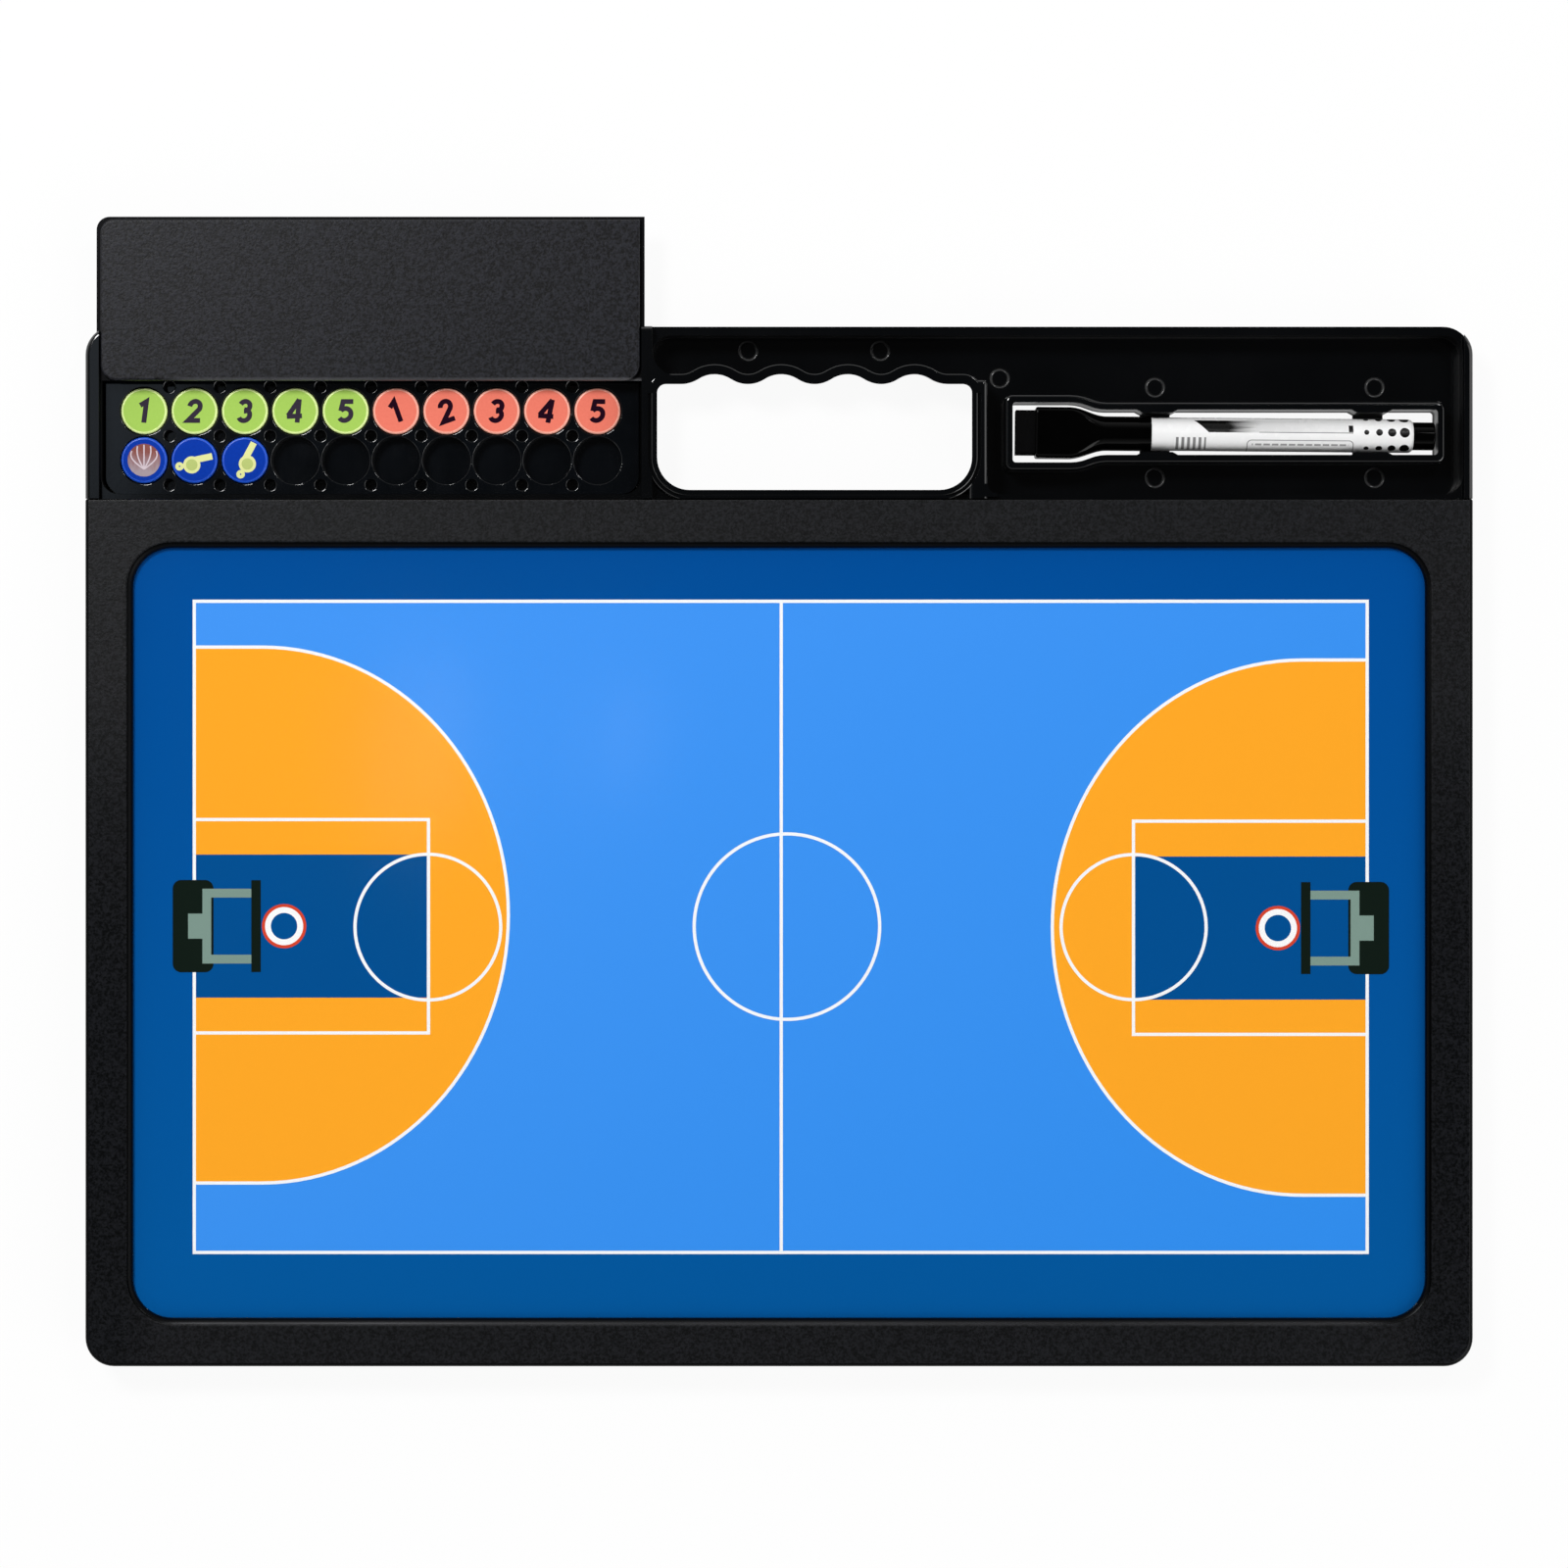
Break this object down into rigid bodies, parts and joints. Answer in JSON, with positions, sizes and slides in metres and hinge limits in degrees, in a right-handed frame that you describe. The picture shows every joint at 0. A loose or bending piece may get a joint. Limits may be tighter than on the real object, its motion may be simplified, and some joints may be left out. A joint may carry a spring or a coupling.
{
  "type": "basketball tactics board",
  "caption": "Basketball coach's tactics board: magnetic court panel in a black case with a finger grip, a sliding-lid tray of numbered tokens and a marker in a clip bay.",
  "frame": {"origin": "middle of the case's flat back face", "axes": "+X along the case towards the marker bay, +Y up the case towards the grip, +Z out of the front face"},
  "size_m": [0.425, 0.3523, 0.016],
  "materials": {
    "gloss_black_shell": "gloss",
    "matte_black_frame": "matte",
    "panel_steel": "satin",
    "court_print": "satin",
    "clear_film": "gloss",
    "screw_steel": "satin",
    "gloss_black_tray": "gloss",
    "matte_black_lid": "matte",
    "marker_white": "gloss",
    "marker_black": "gloss",
    "marker_felt": "matte",
    "marker_fibre": "matte",
    "token_green": "satin",
    "token_coral": "satin",
    "token_blue": "satin",
    "token_green_label": "satin",
    "token_coral_label": "satin",
    "token_blue_label": "satin",
    "token_magnet": "matte"
  },
  "bodies": {
    "case": {"rear_shell": "gloss_black_shell", "front_frame": "matte_black_frame", "steel_sheet": "panel_steel", "court_print": "court_print", "clear_film": "clear_film", "case_screws": "screw_steel", "magnet_tray": "gloss_black_tray"},
    "lid": {"storage_lid": "matte_black_lid"},
    "marker": {"marker_barrel": "marker_white", "marker_cap": "marker_black", "marker_eraser": "marker_felt", "marker_tail_plug": "marker_black", "marker_nib_holder": "marker_white", "marker_nib": "marker_fibre", "marker_ink_core": "marker_fibre"},
    "token_home_1": {"token_home_1_cup": "token_green", "token_home_1_magnet": "token_magnet", "token_home_1_label": "token_green_label"},
    "token_home_2": {"token_home_2_cup": "token_green", "token_home_2_magnet": "token_magnet", "token_home_2_label": "token_green_label"},
    "token_home_3": {"token_home_3_cup": "token_green", "token_home_3_magnet": "token_magnet", "token_home_3_label": "token_green_label"},
    "token_home_4": {"token_home_4_cup": "token_green", "token_home_4_magnet": "token_magnet", "token_home_4_label": "token_green_label"},
    "token_home_5": {"token_home_5_cup": "token_green", "token_home_5_magnet": "token_magnet", "token_home_5_label": "token_green_label"},
    "token_away_1": {"token_away_1_cup": "token_coral", "token_away_1_magnet": "token_magnet", "token_away_1_label": "token_coral_label"},
    "token_away_2": {"token_away_2_cup": "token_coral", "token_away_2_magnet": "token_magnet", "token_away_2_label": "token_coral_label"},
    "token_away_3": {"token_away_3_cup": "token_coral", "token_away_3_magnet": "token_magnet", "token_away_3_label": "token_coral_label"},
    "token_away_4": {"token_away_4_cup": "token_coral", "token_away_4_magnet": "token_magnet", "token_away_4_label": "token_coral_label"},
    "token_away_5": {"token_away_5_cup": "token_coral", "token_away_5_magnet": "token_magnet", "token_away_5_label": "token_coral_label"},
    "token_ball": {"token_ball_cup": "token_blue", "token_ball_magnet": "token_magnet", "token_ball_label": "token_blue_label"},
    "token_referee_1": {"token_referee_1_cup": "token_blue", "token_referee_1_magnet": "token_magnet", "token_referee_1_label": "token_blue_label"},
    "token_referee_2": {"token_referee_2_cup": "token_blue", "token_referee_2_magnet": "token_magnet", "token_referee_2_label": "token_blue_label"}
  },
  "joints": [
    {"name": "lid_slide", "type": "slide", "parent": "case", "child": "lid", "axis": [0, 1, 0], "range_m": [-0.036, 0.02]},
    {"name": "marker_lift", "type": "slide", "parent": "case", "child": "marker", "axis": [0, 0, 1], "range_m": [0, 0.06]},
    {"name": "home_1_lift", "type": "slide", "parent": "case", "child": "token_home_1", "axis": [0, 0, 1], "range_m": [0, 0.03]},
    {"name": "home_2_lift", "type": "slide", "parent": "case", "child": "token_home_2", "axis": [0, 0, 1], "range_m": [0, 0.03]},
    {"name": "home_3_lift", "type": "slide", "parent": "case", "child": "token_home_3", "axis": [0, 0, 1], "range_m": [0, 0.03]},
    {"name": "home_4_lift", "type": "slide", "parent": "case", "child": "token_home_4", "axis": [0, 0, 1], "range_m": [0, 0.03]},
    {"name": "home_5_lift", "type": "slide", "parent": "case", "child": "token_home_5", "axis": [0, 0, 1], "range_m": [0, 0.03]},
    {"name": "away_1_lift", "type": "slide", "parent": "case", "child": "token_away_1", "axis": [0, 0, 1], "range_m": [0, 0.03]},
    {"name": "away_2_lift", "type": "slide", "parent": "case", "child": "token_away_2", "axis": [0, 0, 1], "range_m": [0, 0.03]},
    {"name": "away_3_lift", "type": "slide", "parent": "case", "child": "token_away_3", "axis": [0, 0, 1], "range_m": [0, 0.03]},
    {"name": "away_4_lift", "type": "slide", "parent": "case", "child": "token_away_4", "axis": [0, 0, 1], "range_m": [0, 0.03]},
    {"name": "away_5_lift", "type": "slide", "parent": "case", "child": "token_away_5", "axis": [0, 0, 1], "range_m": [0, 0.03]},
    {"name": "ball_lift", "type": "slide", "parent": "case", "child": "token_ball", "axis": [0, 0, 1], "range_m": [0, 0.03]},
    {"name": "referee_1_lift", "type": "slide", "parent": "case", "child": "token_referee_1", "axis": [0, 0, 1], "range_m": [0, 0.03]},
    {"name": "referee_2_lift", "type": "slide", "parent": "case", "child": "token_referee_2", "axis": [0, 0, 1], "range_m": [0, 0.03]}
  ]
}
